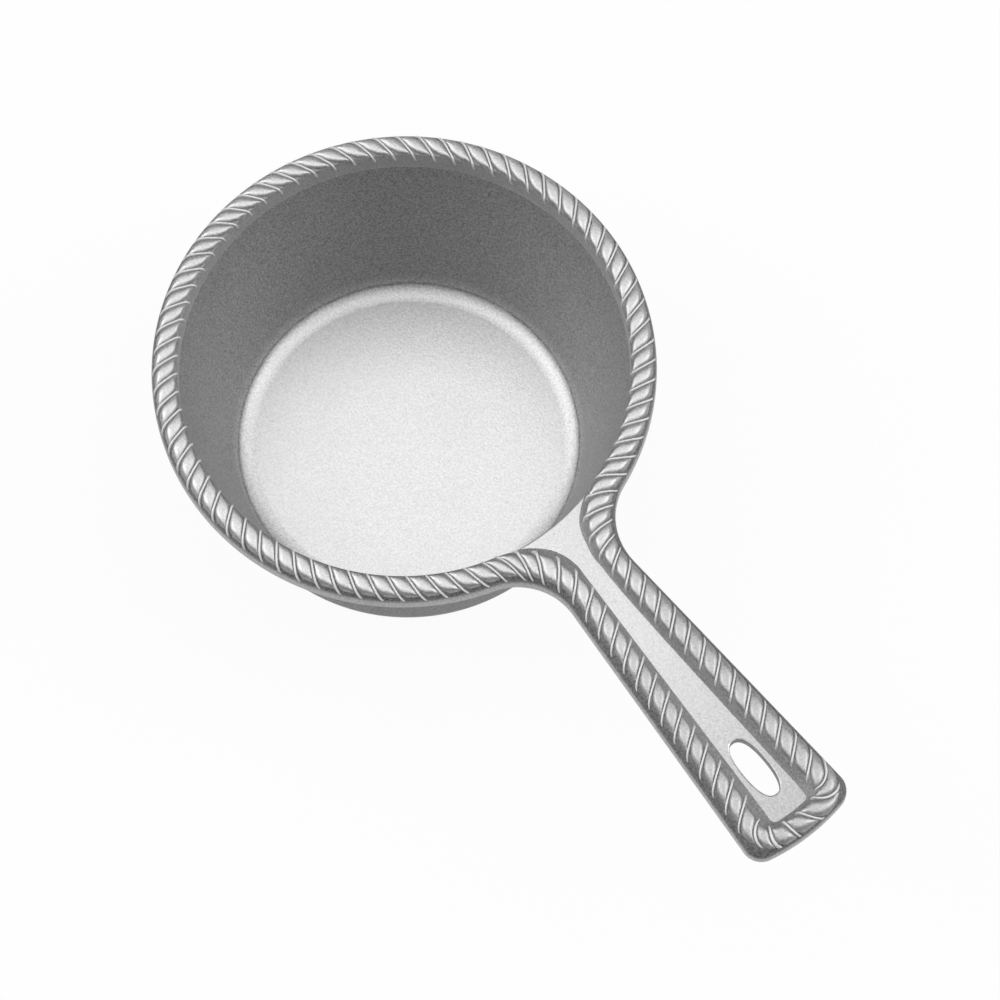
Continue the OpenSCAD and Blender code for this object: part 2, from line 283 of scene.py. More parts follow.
# Pan wall: the tapered wall of the bowl, drawn from its pattern with a little draft. Inside it meets the
# floor in a small fillet, and outside it runs down into the rounded foot.
floor_fillet = 4.5
fillet_centre = Vector((floor_r, floor_t + floor_fillet))
to_mouth = Vector((mouth_r, under_z)) - fillet_centre
fillet_end = math.atan2(to_mouth.y, to_mouth.x) - math.acos(floor_fillet / to_mouth.length)
wall_foot = turned(-wall_lean, foot_round, foot_centre)
wall_rows = 12


def straight(start, stop, steps):
    return [start.lerp(stop, i / steps) for i in range(1, steps + 1)]


inner_foot = turned(fillet_end, floor_fillet, fillet_centre)
wall_profile = arc(fillet_centre, floor_fillet, -math.pi / 2, fillet_end, 16)
wall_profile += straight(inner_foot, Vector((mouth_r, under_z)), wall_rows)
wall_profile += straight(Vector((mouth_r, under_z)), Vector((lip_r, under_z)), 2)
wall_profile += straight(Vector((lip_r, under_z)), wall_foot, wall_rows)
wall_profile += arc(foot_centre, foot_round, -wall_lean, foot_angle_at_floor, 4)[1:]
wall_profile += [wall_profile[0]]
pan_wall = spun("pan_wall_shell", wall_profile)
outer_wall_shade, outer_shade_start = 0.2, 1.4
fillet_line_r, fillet_line_w, fillet_line_dark = 35.4, 0.3, 0.16
fillet_line_wander = 0.4
painted_fillet_light = 0.1


def wall_painted_light_and_line(metal):
    """The outside of the wall is painted darker, a painted shade. Inside, a fine dark line runs round
    the fillet, and the fillet above it is painted a little lighter than the wall, a painted light."""
    x, y, z = place_on_pan(metal)
    round_sum = x * x + y * y
    radius = round_sum.step("POWER", round_sum, 0.5)
    outside = (radius - (z * math.tan(wall_lean) + (base_r - outer_shade_start))).clamped() * outer_wall_shade
    uneven = grain(metal, 2.5, 3)
    above = (radius - (fillet_line_r - fillet_line_w) + uneven * fillet_line_wander) * (1 / fillet_line_w)
    fillet_line = (2 - above).clamped() * above.clamped() * (uneven * 0.4 + fillet_line_dark)
    fillet = ((floor_t + floor_fillet - z) * 0.4).clamped() * painted_fillet_light
    return outside + fillet_line - fillet


wall_aluminium = cast_metal(
    "wall_aluminium", 0.44, 0.78, sand=0.65, depth=0.04, polished=0.6, edge=0.64, darker=wall_painted_light_and_line
)
finish_piece(pan_wall, wall_aluminium, "pan_wall")


# Rim band: the thick rim that stands out from the wall, cast in one with it. The two halves of the
# mould met at its widest line. It stops where the hollow curves of the handle's neck begin.
handle_end = 123.2
neck_half_w, end_half_w = 7.75, 12.2
neck_x = rim_r + neck_half_w
handle_shift = 2.4
web_z = parting_z + 0.8


class Contour:
    """A closed outline seen from above: a circle round the bowl and a widening handle, joined by hollow
    curves, with a bowed end and round corners. neck and end are the handle's half widths, and all but
    them and the tip are radii. Side 1 is the left, and side -1 the right, mirrored."""

    def __init__(self, circle, neck, end, hollows, tip, bow, corner):
        self.circle, self.neck, self.hollows = circle, neck, {1: hollows[0], -1: hollows[1]}
        self.tip, self.bow, self.corner = tip, bow, corner
        self.slope = math.atan2(end - neck, handle_end - neck_x)
        self.along = turned(self.slope, 1)
        self.normal = self.slope + math.pi / 2
        self.outward = turned(self.normal, 1)

    def offset(self, side):
        return self.outward.dot(Vector((neck_x, side * handle_shift + self.neck)))

    def reached(self, start, away, reach):
        return start + self.outward * away + self.along * math.sqrt(reach**2 - away**2)

    def hollow_centre(self, side):
        hollow = self.hollows[side]
        return self.reached(Vector((0, 0)), self.offset(side) + hollow, self.circle + hollow)

    def rim_angle(self, side):
        centre = self.hollow_centre(side)
        return math.atan2(centre.y, centre.x)

    def side_start(self, side):
        return self.hollow_centre(side) - self.outward * self.hollows[side]

    def bow_centre(self, side):
        return Vector((self.tip - self.bow, side * handle_shift))

    def corner_centre(self, side):
        centre = self.bow_centre(side)
        away = self.offset(side) - self.corner - self.outward.dot(centre)
        return self.reached(centre, away, self.bow - self.corner)

    def side_stop(self, side):
        return self.corner_centre(side) + self.outward * self.corner

    def corner_angle(self, side):
        reach = self.corner_centre(side) - self.bow_centre(side)
        return math.atan2(reach.y, reach.x)


end_rail_w, end_rope_w = 5.4, 3.4
rope_from_mouth = 2.25
bow_round = 43
outer = Contour(
    circle=rim_r, neck=neck_half_w, end=end_half_w, hollows=(14, 12.8),
    tip=handle_end, bow=bow_round, corner=4,
)
web = Contour(
    circle=mouth_r, neck=1.6, end=4.5, hollows=(12.4, 10.6),
    tip=handle_end - end_rail_w, bow=bow_round, corner=1.1,
)
rope = Contour(
    circle=mouth_r + rope_from_mouth, neck=4.2, end=8.4, hollows=(16, 16),
    tip=handle_end - end_rope_w, bow=bow_round - end_rope_w, corner=4,
)
left_stop = outer.rim_angle(1)
right_stop = -outer.rim_angle(-1)
rope_on_rim = rim_r - rope.circle
hump_h, hump_crown = 3, 0.05
shoulder_w, shoulder_steps = 0.8, 11
web_lap = 0.3


def border_section(width, rope_line, flank_share=0, crest_in=2, foot_in=2.2, foot_w=0.25):
    """The border as (distance inwards from the parting line, height above it): a rounded shoulder, the
    hump that carries the rope, and then on the rim the rounded lip of the mouth, or on the handle a
    flank down to the web. rope_line is the distance inwards of the rope's line, the flank's crest and
    foot lie crest_in and foot_in further in, and the foot runs out over two times foot_w."""
    low = web_z - parting_z
    shoulder = [turned(math.pi / 2 * i / shoulder_steps, 1) for i in range(shoulder_steps + 1)]
    section = [((rope_line - shoulder_w) * (1 - p.x), (hump_h - hump_crown) * p.y) for p in shoulder]
    section.append((rope_line, hump_h))
    lip = [(width - 1.15, 2.97), (width - 0.55, 2.87), (width - 0.25, 2.72), (width - 0.08, 2.52)]
    lip += [(width, 2.25), (width, 1.6), (width, 1.3), (width, 0.9)]
    crest = Vector((rope_line + crest_in, 2.72))
    foot = Vector((min(rope_line + foot_in, width - 0.15), low + 0.24))
    flank = [(crest.x - 0.6, 2.95), (crest.x - 0.25, 2.86), crest, crest.lerp(foot, 0.33)]
    flank += [crest.lerp(foot, 0.67), foot, (min(foot.x + foot_w, width), low + 0.07)]
    flank += [(min(foot.x + 2 * foot_w, width), low - 0.03)]
    section += [tuple(Vector(p).lerp(Vector(q), flank_share)) for p, q in zip(lip, flank)]
    section += [(section[-1][0], low - web_lap), (width, low - web_lap), (width, -1)]
    section += [(width, -lip_h + 0.15), (width - 0.15, -lip_h)]
    under = arc((lip_round, lip_round - lip_h), lip_round, -math.pi / 2, -math.pi, 6)
    return section + [tuple(p) for p in under]


band_profile = [Vector((rim_r - q, parting_z + z)) for q, z in border_section(rim_w, rope_on_rim)]
band_profile += [band_profile[0]]
band_sweep, band_steps = math.tau - left_stop + right_stop, 240
rim_band = spun("rim_band_casting", band_profile, left_stop, band_sweep, band_steps)
slope_dark, outer_slope_dark = 0.12, 0.18


def painted_slope_shade(metal):
    """Painted shade: the slopes between the flat and the upright are painted darker, most of all the
    outer ones.
    """
    x, y, z = place_on_pan(metal)
    nx, ny, nz = facing(metal)
    outward = (x * nx * 0.3 + (y - handle_shift) * ny).clamped()
    sloped = (nz * 4 - 0.8).clamped() * (5 - nz * 5).clamped()
    return sloped * (outward * outer_slope_dark + slope_dark)


# Where the border faces up its tone is painted darker than on its slopes, a painted top shade against
# the overhead lamp's reflection.
border_aluminium = cast_metal(
    "border_aluminium", 0.54, 0.34, sand=0.5, depth=0.04, polished=0.72, edge=0.8, darker=painted_slope_shade
)
finish_piece(rim_band, border_aluminium, "rim_band")


# Rails: the rim band runs on round the hollow curves of the neck and along both edges of the handle, and
# meets itself round the bowed end. Inside, a sloped flank falls from the rope's seat to the sunken web.
neck_steps, mouth_steps, side_steps, corner_steps, bow_steps = 40, 8, 14, 10, 16
mitre_share = 0.5
flank_start, flank_steps = 3, 9


def smooth(x):
    x = min(max(x, 0), 1)
    return x * x * (3 - 2 * x)


def between(start, stop, share):
    return start + (stop - start) * share


def web_edge(x, side):
    start, centre, radius = web.side_start(side), web.hollow_centre(side), web.hollows[side]
    if x < start.x:
        return Vector((x, centre.y - math.sqrt(radius**2 - (x - centre.x) ** 2)))
    return Vector((x, start.y + (x - start.x) * math.tan(web.slope)))


def neck_station(share, side):
    first = outer.rim_angle(side)
    centre, radius = outer.hollow_centre(side), outer.hollows[side]
    on_line = turned(first + math.pi + (outer.normal - first) * share, radius, centre)
    mouth_share = mouth_steps / neck_steps
    if share < mouth_share:
        return on_line, turned(between(first, web.rim_angle(side), share / mouth_share), mouth_r)
    mouth_x = mouth_r * math.cos(web.rim_angle(side))
    past_share = (share - mouth_share) / (1 - mouth_share)
    return on_line, web_edge(between(mouth_x, outer.side_start(side).x, past_share), side)


def side_station(share, side):
    start, stop = outer.side_start(side), outer.side_stop(side)
    return start.lerp(stop, share), web_edge(between(start.x, web.side_stop(side).x, share), side)


def corner_station(share, side):
    return tuple(
        turned(between(c.normal, c.corner_angle(side), share), c.corner, c.corner_centre(side))
        for c in (outer, web)
    )


def bow_station(share):
    return tuple(
        turned(between(c.corner_angle(1), -c.corner_angle(-1), share), c.bow, c.bow_centre(1))
        for c in (outer, web)
    )


def rail_stations(side):
    stations = [neck_station(i / neck_steps, side) for i in range(neck_steps)]
    stations += [side_station(i / side_steps, side) for i in range(side_steps)]
    shares = [mitre_share * i / corner_steps for i in range(corner_steps + 1)]
    return stations + [corner_station(share, side) for share in shares]


def half_end(side):
    return [corner_station(between(mitre_share, 1, i / corner_steps), side) for i in range(corner_steps)]


def mirrored(p):
    return Vector((p.x, -p.y))


def flipped(pair):
    return tuple(map(mirrored, pair))


end_stations = half_end(1) + [bow_station(i / bow_steps) for i in range(bow_steps + 1)]
end_stations += [flipped(pair) for pair in reversed(half_end(-1))]


def rope_path():
    """Stretches of the rope's centre line, clockwise from above: (length, centre or start, radius or 0,
    first angle or heading, sweep)."""
    left, right, normal = rope.rim_angle(1), -rope.rim_angle(-1), rope.normal
    left_corner, right_corner = rope.corner_angle(1), rope.corner_angle(-1)
    arcs = [
        (Vector((0, 0)), rope.circle, right, left - right - math.tau),
        (rope.hollow_centre(1), rope.hollows[1], left + math.pi, normal - left),
        (rope.corner_centre(1), rope.corner, normal, left_corner - normal),
        (rope.bow_centre(1), rope.bow, left_corner, -left_corner - right_corner),
        (mirrored(rope.corner_centre(-1)), rope.corner, -right_corner, right_corner - normal),
        (mirrored(rope.hollow_centre(-1)), rope.hollows[-1], math.pi - normal, normal + right),
    ]
    curved = [(abs(a[3]) * a[1],) + a for a in arcs]
    lines = [
        (rope.side_start(1), rope.side_stop(1)),
        (mirrored(rope.side_stop(-1)), mirrored(rope.side_start(-1))),
    ]
    straight_on = [((q - p).length, p, 0, math.atan2(q.y - p.y, q.x - p.x), 0) for p, q in lines]
    return curved[:2] + straight_on[:1] + curved[2:5] + straight_on[1:] + curved[5:]


path = rope_path()
path_l = sum(stretch[0] for stretch in path)


def on_border(dist, inward):
    """The point at a distance along the rope's line and a distance inwards from it."""
    dist %= path_l
    for length, centre, radius, first, sweep in path:
        if dist <= length:
            break
        dist -= length
    if radius == 0:
        p, heading = centre + turned(first, dist), first
    else:
        angle = first + sweep * dist / length
        p, heading = turned(angle, radius, centre), angle + math.copysign(math.pi / 2, sweep)
    return p + Vector((math.sin(heading), -math.cos(heading))) * inward


def added(name, points, faces):
    """A new piece from its points and faces."""
    mesh = bpy.data.meshes.new(name)
    mesh.from_pydata(points, [], faces)
    piece = bpy.data.objects.new(name, mesh)
    bpy.context.collection.objects.link(piece)
    pick(piece)
    return piece


def swept(name, sections):
    """A closed solid through a row of like sections, capped at both ends."""
    n, last = len(sections[0]), len(sections) - 1
    faces = [tuple(range(n)), tuple(last * n + k for k in reversed(range(n)))]
    for i in range(last):
        for k in range(n):
            a, b = i * n + k, i * n + (k + 1) % n
            faces.append((a, a + n, b + n, b))
    piece = added(name, [p * MM for section in sections for p in section], faces)
    face_outwards()
    return piece


sample_count = 1800
sample_dists = [path_l * i / sample_count for i in range(sample_count)]
path_samples = [(dist, on_border(dist, 0)) for dist in sample_dists]


def on_rope(pair):
    """Where the line from the parting line to the web crosses the rope's line: the distance along the
    rope and the distance inwards."""
    reach = pair[1] - pair[0]
    inward, aside = reach.normalized(), Vector((-reach.y, reach.x)).normalized()

    def off(sample):
        q = (sample[1] - pair[0]).dot(inward)
        return abs((sample[1] - pair[0]).dot(aside)) + max(0, -q, q - reach.length - 1) * 10

    dist, p = min(path_samples, key=off)
    return dist, (p - pair[0]).dot(inward)


# Along the rope: a distance, and how far inwards the flank's crest and its foot lie there
flank_marks = [
    (0, 2.0, 2.3), (264, 2.0, 2.3), (268, 2.3, 2.8), (273, 2.4, 3.3), (279, 1.5, 2.4),
    (283, 1.15, 1.8), (293, 1.5, 2.3), (300, 1.65, 2.65), (312, 1.75, 3.1), (338, 1.7, 3.3),
    (343, 1.2, 3.2), (346, 1.0, 2.4), (350, 0.8, 1.7), (358, 1.1, 2.8), (364, 1.5, 3.5),
    (395, 1.5, 3.4), (405, 1.5, 3.2), (413, 1.5, 2.95), (421, 2.0, 3.4), (427, 2.7, 4.0),
    (432, 2.3, 3.2), (437, 2.0, 2.3),
]


def marked(marks, dist, ease=smooth):
    """The values at a distance, between the two marks that it lies between."""
    for before, after in zip(marks, marks[1:]):
        if dist <= after[0]:
            break
    share = ease((dist - before[0]) / max(after[0] - before[0], 0.001))
    return tuple(between(p, q, share) for p, q in zip(before[1:], after[1:]))


# The sections as they were made, each with its distance along the rope, for the rope to lie on
border_marks = []
crisp_foot_w, soft_foot_w = 0.25, 0.6
soft_foot_from = 356


def station_section(pair, flank_share):
    """The border's section at a station. The foot of the right rail's flank is the softer one."""
    reach = pair[1] - pair[0]
    dist, rope_line = on_rope(pair)
    foot_w = between(crisp_foot_w, soft_foot_w, smooth((dist - soft_foot_from) / 10))
    values = (reach.length, rope_line, flank_share) + marked(flank_marks, dist) + (foot_w,)
    border_marks.append((dist,) + values)
    return reach.normalized(), border_section(*values)


def rail(name, stations, shares):
    sections = []
    for pair, share in zip(stations, shares):
        inward, section = station_section(pair, share)
        flat = [pair[0] + inward * q for q, z in section]
        sections.append([Vector((p.x, p.y, parting_z + z)) for p, (q, z) in zip(flat, section)])
    return swept(name, sections)


def side_rail(name, side):
    stations = rail_stations(side)
    shares = [smooth((i - flank_start) / flank_steps) for i in range(len(stations))]
    if side < 0:
        stations = [flipped(pair) for pair in stations]
    return rail(name, stations, shares)


finish_piece(side_rail("left_rail_casting", 1), border_aluminium, "left_rail")
finish_piece(side_rail("right_rail_casting", -1), border_aluminium, "right_rail")
end_rail = rail("end_rail_casting", end_stations, [1 for pair in end_stations])
finish_piece(end_rail, border_aluminium, "end_rail")


# Handle web: the thin sunken middle of the handle, flush with the rails' feet and open to the mouth of
# the bowl, where its edge is softly rounded. The hanging slot was cast in it near the end.
web_t, web_soft, web_tuck = 2.1, 0.3, 0.3
web_mouth_steps = 48
slot_l, slot_w, slot_power, slot_steps = 13, 5.2, 2.45, 64
slot_from_end = 16.5
slot_centre = Vector((handle_end - slot_from_end, handle_shift))


def tucked(pair):
    """The web's edge at a station, hidden just inside the foot of the rail."""
    dist, rope_line = on_rope(pair)
    reach = pair[1] - pair[0]
    foot = min(rope_line + marked(flank_marks, dist)[1], reach.length)
    return pair[0] + reach.normalized() * (foot - web_tuck)


def web_loop(by, stop=None):
    """The web's outline. Only its mouth is drawn back by a distance, less where it meets the rails."""
    sides = {1: rail_stations(1)[flank_start:stop or -1], -1: rail_stations(-1)[flank_start:stop or -1]}
    loop = [tucked(pair) for pair in sides[1]]
    if stop is None:
        loop += [tucked(pair) for pair in end_stations]
    loop += [tucked(flipped(pair)) for pair in reversed(sides[-1])]
    right, left = flipped(sides[-1][0])[1], sides[1][0][1]
    first, last = math.atan2(right.y, right.x), math.atan2(left.y, left.x)
    for i in range(web_mouth_steps + 1):
        angle = between(first, last, i / web_mouth_steps)
        drawn = by * smooth(min(i, web_mouth_steps - i) / 6)
        loop.append(turned(angle, mouth_r + drawn))
    return loop


def slot_loop(by):
    """The slot's outline, fuller than an ellipse, and widened by a distance."""
    half_l, half_w = slot_l / 2 + by, slot_w / 2 + by
    loop = []
    for i in range(slot_steps):
        p = turned(math.tau * i / slot_steps, 1)
        swell = (abs(p.x) ** slot_power + abs(p.y) ** slot_power) ** (-1 / slot_power)
        loop.append(slot_centre + Vector((half_l * p.x * swell, half_w * p.y * swell)))
    return loop


def plate(name, loops, top, bottom, soft):
    """A flat plate with holes: each loop is a function of how far its edge is drawn back. The edges are
    rounded by the radius soft at the top."""
    rows = [(soft, top), (soft * 0.29, top - soft * 0.29), (0, top - soft), (0, bottom)]
    points, faces, rims = [], [], []
    for loop in loops:
        first = len(points)
        for by, z in rows:
            ring = loop(by)
            points += [Vector((p.x, p.y, z)) for p in ring]
        n = len(ring)
        for row in range(len(rows) - 1):
            for k in range(n):
                a, b = first + row * n + k, first + row * n + (k + 1) % n
                faces.append((a, b, b + n, a + n))
        rims.append((first, n))
    piece = added(name, points, faces)
    mesh = piece.data
    bpy.ops.object.mode_set(mode="EDIT")
    bpy.ops.mesh.select_all(action="DESELECT")
    bpy.ops.object.mode_set(mode="OBJECT")
    for row in (0, len(rows) - 1):
        edge_ends = {first + row * n + k for first, n in rims for k in range(n)}
        for edge in mesh.edges:
            edge.select = all(v in edge_ends for v in edge.vertices)
        for vertex in mesh.vertices:
            vertex.select = vertex.index in edge_ends
        bpy.ops.object.mode_set(mode="EDIT")
        bpy.ops.mesh.select_mode(type="EDGE")
        bpy.ops.mesh.fill(use_beauty=True)
        bpy.ops.mesh.select_all(action="DESELECT")
        bpy.ops.object.mode_set(mode="OBJECT")
    face_outwards()
    mesh.transform(Matrix.Scale(MM, 4))
    return piece


handle_web = plate("handle_web_plate", [web_loop, slot_loop], web_z, web_z - web_t, web_soft)
web_dull_from, web_dull_per_mm = 70, 1 / 230


def web_end_darkening(metal):
    """The web's tone is darker towards its end."""
    return ((place_on_pan(metal)[0] - web_dull_from) * web_dull_per_mm).clamped()


web_aluminium = cast_metal("web_aluminium", 0.5, 0.71, sand=0.4, depth=0.03, darker=web_end_darkening)
finish_piece(handle_web, web_aluminium, "handle_web", crease=12)


# Neck fillet: the metal that carries the handle under the mouth of the web, with a small hollow blend
# from the wall of the bowl to the handle's lower face.
blend_round = 2.4
blend_z = under_z - blend_round
blend_r = base_r + blend_z * math.tan(wall_lean) + blend_round / math.cos(wall_lean)
pad_steps, pad_soft = 24, 0.2
handle_bite, wall_bite = 0.3, 0.5


def pad_loop(by):
    return web_loop(0, pad_steps)


pad = plate("neck_pad", [pad_loop], web_z - web_t + pad_soft, under_z, pad_soft)
blend_profile = [Vector((lip_r, under_z + handle_bite)), Vector((blend_r, under_z + handle_bite))]
blend_profile += arc((blend_r, blend_z), blend_round, math.pi / 2, math.pi - wall_lean, 8)
blend_profile += [turned(math.pi - wall_lean, blend_round + wall_bite, (blend_r, blend_z))]
blend_profile += [blend_profile[0]]
blend = spun("neck_fillet_casting", blend_profile, right_stop, left_stop - right_stop, 48)
pad.select_set(True)
blend.select_set(True)
bpy.context.view_layer.objects.active = blend
bpy.ops.object.join()
finish_piece(blend, border_aluminium, "neck_fillet")


# Rope: the twisted strands that border the rim and the handle. Each strand is a low pillow cast on the
# border's hump between two ribs, which the carver of the pattern spaced by eye. Handling has worn the
# crowns smooth, and they are painted bright as a painted top light, less so on the handle; the hollows
# between them keep a plain grey.

# Runs of ribs, clockwise from the right of the neck: their count, spacing and lean in degrees, how far
# they reach outwards and inwards, how far the strands do, and how much of two strand corners is cut away
rib_runs = [
    (12, 3.95, 31, 3.2, 2.5, 2.4, 2.2, 0.45),
    (12, 4.02, 33, 3.1, 2.7, 2.5, 2.2, 0.45),
    (12, 4.04, 35, 2.8, 3.1, 2.4, 2.1, 0.7),
    (12, 4.28, 38, 2.7, 3.1, 2.4, 2.1, 0.9),
    (10, 4.16, 38, 2.8, 2.9, 2.4, 2.2, 0.5),
    (8, 4.0, 33, 3.0, 2.6, 2.4, 2.2, 0.45),
    (1, 3.76, 29, 3.1, 3.3, 2.5, 2.6, 0.4),
    (1, 3.76, 28, 3.1, 3.5, 2.5, 2.4, 0.4),
    (1, 3.76, 30, 3.0, 3.1, 2.6, 2.0, 0.4),
    (1, 3.76, 32, 2.9, 2.6, 2.7, 1.7, 0.4),
    (1, 3.76, 35, 2.9, 2.4, 2.9, 1.6, 0.4),
    (13, 4.26, 36, 3.0, 2.7, 2.9, 2.0, 0.5),
    (1, 2.9, 41, 3.7, 1.7, 3.4, 1.2, 0.2),
    (1, 4.5, 30, 3.7, 1.6, 3.4, 1.1, 0.4),
    (1, 3.7, 31, 3.5, 1.3, 3.2, 1.0, 0.3),
    (1, 3.5, 10, 3.4, 1.3, 3.2, 1.0, 0.2),
    (1, 3.0, 9, 3.4, 1.5, 3.2, 1.1, 0.2),
    (1, 4.1, 26, 3.2, 2.2, 2.9, 1.5, 0.4),
    (13, 4.215, 39, 3.2, 3.0, 2.1, 1.8, 0.5),
    (1, 3.9, 34, 3.2, 3.2, 2.2, 2.1, 0.5),
    (1, 3.9, 25, 3.3, 4.1, 2.3, 2.8, 0.4),
    (1, 3.0, 24, 3.2, 4.2, 2.3, 2.8, 0.3),
    (1, 2.9, 29, 3.1, 3.4, 2.3, 2.5, 0.3),
    (1, 3.45, 42, 3.2, 2.7, 2.3, 2.2, 0.4),
]
first_rib = -0.5
runs_l = sum(run[0] * run[1] for run in rib_runs)

ribs = []
rib_at = first_rib
for run in rib_runs:
    for i in range(run[0]):
        ribs.append({"at": rib_at, "lean": math.radians(run[2]), "reach": run[3:5], "strand": run[5:]})
        rib_at += run[1] * path_l / runs_l
rib_count = len(ribs)
rib_t = 0.5
rib_bend = 0.012


def rib_line(rib, inward):
    """How far along the border a rib lies at a distance inwards."""
    return rib["at"] + inward * math.tan(rib["lean"]) + rib_bend * inward**3


def rib_after(k):
    rib = dict(ribs[(k + 1) % rib_count])
    if k + 1 == rib_count:
        rib["at"] += path_l
    return rib


rim_l = path[0][0]
left_l = path[1][0] + path[2][0]
end_l = path[3][0] + path[4][0] + path[5][0]


def part_of(dist):
    if dist < rim_l:
        return "rim"
    if dist < rim_l + left_l:
        return "left"
    return "end" if dist < rim_l + left_l + end_l else "right"


border_marks.sort()
border_marks = [(0, rim_w, rope_on_rim, 0, 2, 2.2, crisp_foot_w)] + border_marks
last_top = shoulder_steps + 9
drop_share = 0.35


@functools.lru_cache(None)
def top_at(tenths):
    """The upper side of the border's section at a distance in tenths of a millimetre, as points from the
    rope's line outwards and from there inwards."""
    values = marked(border_marks, tenths / 10, float)
    top = [Vector((q - values[1], z)) for q, z in border_section(*values)[:last_top]]
    return top[shoulder_steps + 1::-1], top[shoulder_steps + 1:]


def on_surface(dist, along, height):
    """The point that lies a distance along the rope, a distance from the rope's line over the surface
    of its section, inwards if positive, and a height above that surface. A slope counts as it looks
    from above and a little to the side: its width and a share of its drop."""
    dist %= path_l
    side = top_at(round(dist * 10))[1 if along > 0 else 0]
    left = abs(along)
    for k in range(len(side) - 1):
        step = abs(side[k + 1].x - side[k].x) + drop_share * abs(side[k + 1].y - side[k].y)
        if left <= step or k == len(side) - 2:
            break
        left -= step
    ahead = (side[k + 1] - side[k]).normalized()
    before = (side[k] - side[max(k - 1, 0)]).normalized() if k else Vector((ahead.x, 0)).normalized()
    q = side[k].lerp(side[k + 1], left / max(step, 0.001))
    ahead = before.lerp(ahead, min(left / max(step, 0.001) + 0.5, 1))
    normal = Vector((-ahead.y, ahead.x)) if along > 0 else Vector((ahead.y, -ahead.x))
    q += normal.normalized() * height
    p = on_border(dist, q.x)
    return Vector((p.x, p.y, parting_z + q.y))


strand_across, strand_along = 14, 16
crown_h, crown_spread = 0.56, 0.05
strand_gap, strand_root = 0.05, 0.35
# How squarely the crown stands up at a strand's sides and at its outer and inner ends, how steeply it
# rises, and how much the strand narrows at its ends
side_power, outer_end_power, inner_end_power = 2.8, 2.6, 3.4
rise_power, end_narrowing = 0.9, 0.22


def strand_master():
    """A flat grid from -1 to 1, with a skirt that closes it underneath."""
    bpy.ops.object.select_all(action="DESELECT")
    bpy.ops.mesh.primitive_grid_add(x_subdivisions=strand_across, y_subdivisions=strand_along, size=2)
    master = bpy.context.object
    bpy.ops.object.mode_set(mode="EDIT")
    bpy.ops.mesh.select_all(action="SELECT")
    bpy.ops.mesh.extrude_region_move(TRANSFORM_OT_translate={"value": (0, 0, 1)})
    face_outwards()
    return master


def bend_strand(strand, k, lift):
    """Bends a copy of the master onto the border between rib k and the next. Two of its corners are
    rounded off, where the ribs cut past it."""
    before, after = ribs[k], rib_after(k)
    outwards, inwards, corner_cut = before["strand"]
    for vertex in strand.data.vertices:
        across, ahead, top = vertex.co.x, vertex.co.y, vertex.co.z > 0.5
        along = between(-outwards, inwards, (ahead + 1) / 2)
        gap = strand_gap + rib_t / 2
        low = rib_line(before, along) + gap + corner_cut * smooth(ahead * 1.3 - 0.3)
        high = rib_line(after, along) - gap - corner_cut * smooth(-ahead * 1.3 - 0.3)
        narrowed = 1 - end_narrowing * abs(ahead) ** 8
        dist = (low + high) / 2 + (high - low) / 2 * across * narrowed
        end_power = outer_end_power if ahead < 0 else inner_end_power
        side = max(1 - abs(across) ** side_power, 0) ** rise_power
        end = max(1 - abs(ahead) ** end_power, 0) ** rise_power
        height = (crown_h + lift) * side * end
        vertex.co = on_surface(dist, along, height if top else -strand_root) * MM
    strand.data.update()


def joined(name, pieces):
    pick(pieces[0])
    for piece in pieces:
        piece.select_set(True)
    bpy.ops.object.join()
    pieces[0].name = pieces[0].data.name = name
    return pieces[0]


def copied(master):
    copy = master.copy()
    copy.data = master.data.copy()
    bpy.context.collection.objects.link(copy)
    return copy


rope_edge = 0.76
dull_from, dull_over, handle_dark = 55, 25, 0.14


def handle_crown_dimming(metal):
    """On the handle the crowns are less worn, and their painted top light is weaker than on the rim."""
    on_handle = ((place_on_pan(metal)[0] - dull_from) * (1 / dull_over)).clamped()
    return on_handle * rubbed_and_painted_top_share(metal, rope_edge) * handle_dark


# The rope: worn crowns with a painted top light, weaker on the handle.
rubbed_rope = cast_metal(
    "rubbed_rope", 0.42, 0.68, 0.4, 0.03, rough=0.62, polished=0.5, edge=rope_edge, darker=handle_crown_dimming
)
parts = ("rim", "left", "end", "right")
strands = {part: [] for part in parts}
random.seed(7)
master = strand_master()
for k in range(rib_count):
    strand = copied(master)
    bend_strand(strand, k, random.uniform(-crown_spread, crown_spread))
    strands[part_of(((ribs[k]["at"] + rib_after(k)["at"]) / 2) % path_l)].append(strand)
bpy.data.objects.remove(master)
for part in parts:
    rope_piece = joined(part + "_rope_strands", strands[part])
    finish_piece(rope_piece, rubbed_rope, part + "_rope", slot="rubbed_rope", crease=60)


# Ribs: the thin raised lines between the strands, cut into the pattern with a small gouge. They taper
# towards their tops and ends, and on the rim their tips stand just past the mouth.
rib_h, rib_end_h, rib_root = 0.46, 0.03, 0.3
rib_rows = 22
bend_from, bend_share = 1.7, 0.35
worn_to, worn_within, worn_over = 0.2, 30, 40
tip_from, tip_over = 1.9, 0.4
rib_shares = [(-1.4, -1), (-1.1, 0), (-0.92, 0.62), (-0.72, 0.92), (-0.35, 1)]
rib_shares += [(-aside, share) for aside, share in reversed(rib_shares)]


def worn(at, along):
    """How much of a rib's height is left inside the mouth, where it is nearly worn off at the front."""
    at %= path_l
    near_neck = min(at, abs(rim_l - at), path_l - at)
    left = between(worn_to, 1, smooth((near_neck - worn_within) / worn_over)) if at < rim_l else 1
    return between(1, left, smooth((along - tip_from) / tip_over))


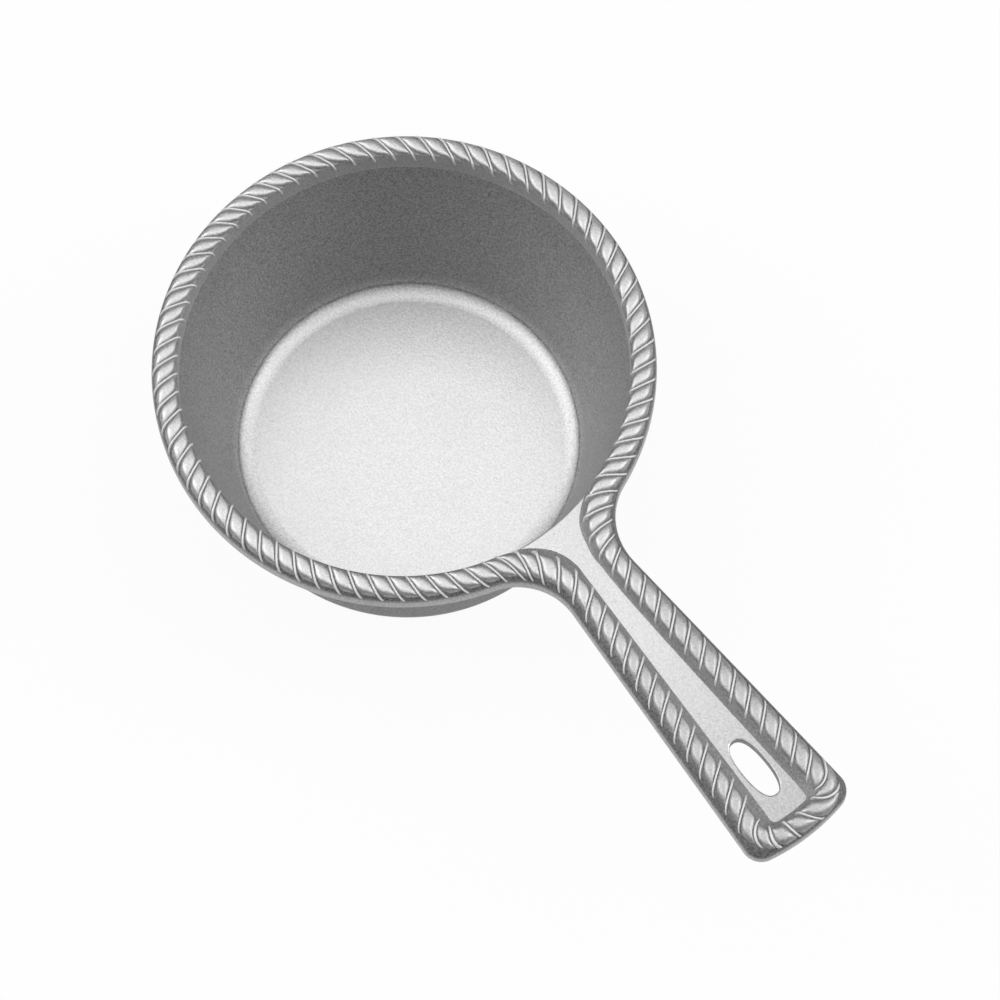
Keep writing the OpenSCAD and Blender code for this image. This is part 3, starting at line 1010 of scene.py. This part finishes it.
def rib_mesh(k):
    """A rib as a row of sections along its line, each narrow at the top."""
    rib = ribs[k]
    sections = []
    for row in range(rib_rows + 1):
        ahead = 2 * row / rib_rows - 1
        along = between(-rib["reach"][0], rib["reach"][1], row / rib_rows)
        line = rib_line(rib, along - bend_share * max(along - bend_from, 0))
        fullness = max(1 - abs(ahead) ** 6, 0)
        height = between(rib_end_h, rib_h, fullness * worn(rib["at"], along))
        half = rib_t / 2 * between(0.8, 1, fullness)
        sections.append([
            on_surface(line + aside * half, along, height * share if share > 0 else -rib_root)
            for aside, share in rib_shares
        ])
    return swept("rib", sections)


# The ribs' pale tone all over is a painted highlight, for the light that their thin ridges catch.
raised_rib = cast_metal(
    "raised_rib", 0.78, 0.8, sand=0.2, depth=0.01, rough=0.7, polished=0.6, metallic=0.5
)
rib_pieces = {part: [] for part in parts}
for k in range(rib_count):
    rib_pieces[part_of(ribs[k]["at"] % path_l)].append(rib_mesh(k))
for part in parts:
    rib_piece = joined(part + "_rib_lines", rib_pieces[part])
    finish_piece(rib_piece, raised_rib, part + "_ribs", slot="raised_rib", crease=50)


# Floor and light: a plain pale floor, a large soft box over the pan, a smaller one to each side of it,
# and a grey room. The floor shows white to the camera and to the metal, and keeps the shadow.
bpy.ops.object.select_all(action="DESELECT")
bpy.ops.mesh.primitive_plane_add(size=4, location=(0, 0, -0.05 * MM))
ground = bpy.context.object
ground.name = "ground"
paper = Metal("paper")
paper.set(Base_Color=(0.86, 0.86, 0.86, 1), Roughness=0.9)
rays = ("Is Camera Ray", "Is Glossy Ray", "Is Transmission Ray")
shown = sum(paper.make("ShaderNodeLightPath", {}, {}, *rays)).clamped() * 0.94
shaded = Sum(paper, paper.shader.outputs[0])
white = paper.make("ShaderNodeEmission", {}, {"Strength": 1})
mixed = paper.make("ShaderNodeMixShader", {}, {0: shown, 1: shaded, 2: white})
paper.feed(paper.tree.nodes["Material Output"].inputs["Surface"], mixed)
ground.data.materials.append(paper.material)


def soft_box(name, azimuth, elevation, size, power):
    """A square lamp that faces the pan from a metre away."""
    lamp = bpy.data.objects.new(name, bpy.data.lights.new(name, "AREA"))
    bpy.context.collection.objects.link(lamp)
    lamp.data.shape = "SQUARE"
    lamp.data.size = size
    lamp.data.energy = power
    level = turned(math.radians(azimuth), math.cos(math.radians(elevation)))
    lamp.location = (level.x, level.y, math.sin(math.radians(elevation)))
    lamp.rotation_euler = lamp.location.to_track_quat("Z", "Y").to_euler()


soft_box("overhead_box", azimuth=142, elevation=88, size=1.3, power=5.8)
soft_box("left_box", azimuth=228, elevation=40, size=0.6, power=3.9)
soft_box("right_box", azimuth=54, elevation=35, size=0.6, power=3.8)
room = bpy.data.worlds.new("room")
bpy.context.scene.world = room
room.use_nodes = True
background = room.node_tree.nodes["Background"]
background.inputs["Color"].default_value = (0.2, 0.2, 0.2, 1)
background.inputs["Strength"].default_value = 1

bpy.context.scene.view_settings.view_transform = "Standard"
